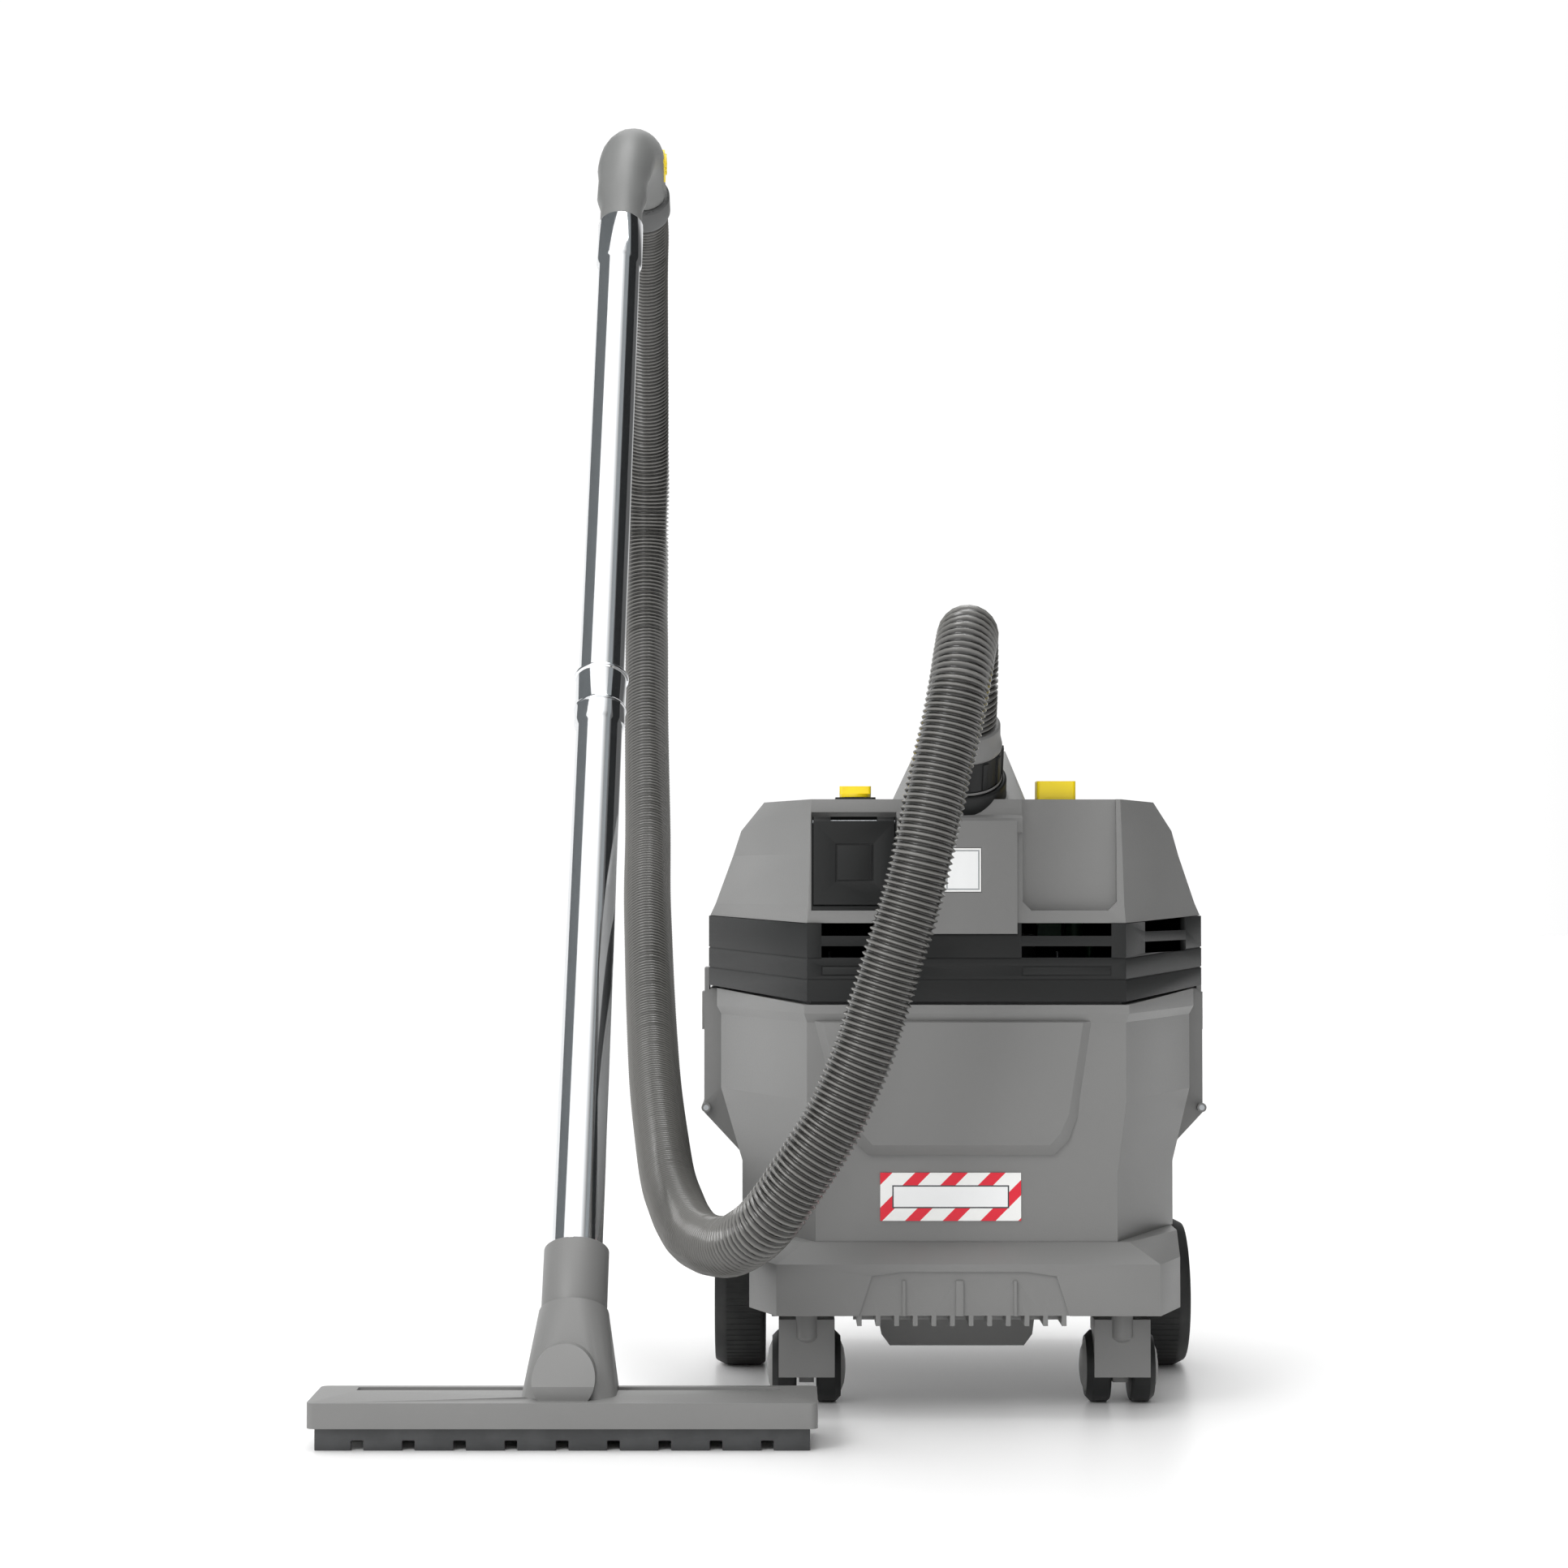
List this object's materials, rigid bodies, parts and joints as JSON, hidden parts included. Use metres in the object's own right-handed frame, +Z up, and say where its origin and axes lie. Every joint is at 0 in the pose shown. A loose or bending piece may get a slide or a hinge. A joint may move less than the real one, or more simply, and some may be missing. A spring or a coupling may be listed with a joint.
{
  "type": "wet and dry vacuum cleaner",
  "caption": "Canister wet and dry vacuum cleaner on castors, with a ribbed hose, a two-piece chrome wand and a wide floor nozzle.",
  "frame": {"origin": "middle of the object's box on the floor, without the hose", "axes": "+Z up, -Y the machine's front with the hose inlet, +X to the right seen from the front"},
  "size_m": [0.6198, 1.095, 1.032],
  "materials": {
    "grey_plastic": "fine texture",
    "dark_plastic": "satin",
    "black_plastic": "satin",
    "yellow_plastic": "satin",
    "tyre_rubber": "matte",
    "seal_rubber": "matte",
    "tube_chrome": "polished",
    "plain_steel": "satin",
    "cast_alloy": "satin",
    "hose_plastic": "gloss",
    "label_paper": "satin",
    "filter_paper": "pleated",
    "board_laminate": "satin",
    "float_plastic": "satin"
  },
  "bodies": {
    "base": {"container": "grey_plastic", "label_plate": "label_paper", "chassis": "grey_plastic", "rear_axle": "plain_steel", "latch_pins": "plain_steel", "suction_hose": "hose_plastic", "tube_lower": "tube_chrome", "tube_upper": "tube_chrome", "handle_bend": "dark_plastic", "handle_sleeve": "dark_plastic", "nozzle_body": "grey_plastic", "nozzle_neck": "grey_plastic", "front_lip": "seal_rubber", "rear_lip": "seal_rubber", "roller_axle": "plain_steel", "nozzle_screws": "plain_steel"},
    "head": {"head_cover": "grey_plastic", "vent_band": "black_plastic", "head_base": "dark_plastic", "rim_gasket": "seal_rubber", "head_screws": "plain_steel", "badge_plate": "label_paper", "inlet_duct": "dark_plastic", "inlet_collar": "black_plastic", "socket_frame": "black_plastic", "socket_insert": "dark_plastic", "flap_pin": "plain_steel", "switch_plate": "black_plastic", "button_spring": "plain_steel", "motor_housing": "dark_plastic", "motor_stator": "plain_steel", "motor_seal": "seal_rubber", "circuit_board": "board_laminate", "cable_gland": "black_plastic", "filter_cage": "dark_plastic", "filter_cartridge": "filter_paper"},
    "coupling": {"hose_coupling": "black_plastic", "coupling_ring": "grey_plastic"},
    "flap": {"socket_flap": "black_plastic"},
    "knob": {"switch_knob": "yellow_plastic"},
    "button": {"clean_button": "yellow_plastic"},
    "rotor": {"motor_rotor": "plain_steel", "fan_impeller": "cast_alloy"},
    "float": {"float_ball": "float_plastic"},
    "slider": {"air_slider": "yellow_plastic"},
    "swivel": {"hose_swivel": "dark_plastic"},
    "latch_l": {"latch_left": "grey_plastic"},
    "latch_r": {"latch_right": "grey_plastic"},
    "wheel_l": {"rear_wheel_left": "tyre_rubber", "wheel_cap_left": "dark_plastic"},
    "wheel_r": {"rear_wheel_right": "tyre_rubber", "wheel_cap_right": "dark_plastic"},
    "fork_l": {"castor_fork_left": "grey_plastic"},
    "fork_r": {"castor_fork_right": "grey_plastic"},
    "castor_l": {"castor_wheels_left": "black_plastic", "castor_caps_left": "grey_plastic"},
    "castor_r": {"castor_wheels_right": "black_plastic", "castor_caps_right": "grey_plastic"},
    "roll_l": {"roller_left": "black_plastic"},
    "roll_r": {"roller_right": "black_plastic"}
  },
  "joints": [
    {"name": "head_lift", "type": "slide", "parent": "base", "child": "head", "axis": [0, 0, 1], "range_m": [0, 0.25], "deforming": ["suction_hose"]},
    {"name": "coupling_turn", "type": "hinge", "parent": "head", "child": "coupling", "pos_m": [0.12305, -0.24855, 0.429], "axis": [0, -0.5736, 0.8191], "continuous": true},
    {"name": "flap_open", "type": "hinge", "parent": "head", "child": "flap", "pos_m": [0.04555, -0.27155, 0.4072], "axis": [-1, 0, 0], "range_deg": [0, 85]},
    {"name": "knob_turn", "type": "hinge", "parent": "head", "child": "knob", "pos_m": [0.04705, -0.24855, 0.423], "axis": [0, 0, 1], "range_deg": [0, 90]},
    {"name": "button_press", "type": "slide", "parent": "head", "child": "button", "axis": [0, 0, -1], "range_m": [0, 0.006], "stiffness_N_per_m": 400, "springref_m": -0.004, "deforming": ["button_spring"]},
    {"name": "rotor_spin", "type": "hinge", "parent": "head", "child": "rotor", "pos_m": [0.12305, -0.08855, 0.34], "axis": [0, 0, 1], "continuous": true},
    {"name": "float_rise", "type": "slide", "parent": "head", "child": "float", "axis": [0, 0, 1], "range_m": [0, 0.035]},
    {"name": "slider_move", "type": "slide", "parent": "base", "child": "slider", "axis": [0, 0.9272, -0.3746], "range_m": [0, 0.012]},
    {"name": "swivel_turn", "type": "hinge", "parent": "base", "child": "swivel", "pos_m": [-0.12995, 0.37945, 0.99], "axis": [0, 0.891, -0.454], "continuous": true},
    {"name": "latch_left_open", "type": "hinge", "parent": "base", "child": "latch_l", "pos_m": [-0.06045, -0.08255, 0.199], "axis": [0, -1, 0], "range_deg": [0, 70]},
    {"name": "latch_right_open", "type": "hinge", "parent": "base", "child": "latch_r", "pos_m": [0.30655, -0.08255, 0.199], "axis": [0, 1, 0], "range_deg": [0, 70]},
    {"name": "rear_wheel_left_spin", "type": "hinge", "parent": "base", "child": "wheel_l", "pos_m": [-0.03195, -0.04355, 0.055], "axis": [1, 0, 0], "continuous": true},
    {"name": "rear_wheel_right_spin", "type": "hinge", "parent": "base", "child": "wheel_r", "pos_m": [0.27805, -0.04355, 0.055], "axis": [1, 0, 0], "continuous": true},
    {"name": "castor_left_swivel", "type": "hinge", "parent": "base", "child": "fork_l", "pos_m": [0.01305, -0.24455, 0.06], "axis": [0, 0, 1], "continuous": true},
    {"name": "castor_right_swivel", "type": "hinge", "parent": "base", "child": "fork_r", "pos_m": [0.23305, -0.24455, 0.06], "axis": [0, 0, 1], "continuous": true},
    {"name": "castor_left_spin", "type": "hinge", "parent": "fork_l", "child": "castor_l", "pos_m": [0.01305, -0.21755, 0.025], "axis": [1, 0, 0], "continuous": true},
    {"name": "castor_right_spin", "type": "hinge", "parent": "fork_r", "child": "castor_r", "pos_m": [0.23305, -0.21755, 0.025], "axis": [1, 0, 0], "continuous": true},
    {"name": "roller_left_spin", "type": "hinge", "parent": "base", "child": "roll_l", "pos_m": [-0.27545, -0.35855, 0.008], "axis": [1, 0, 0], "continuous": true},
    {"name": "roller_right_spin", "type": "hinge", "parent": "base", "child": "roll_r", "pos_m": [-0.01545, -0.35855, 0.008], "axis": [1, 0, 0], "continuous": true}
  ]
}
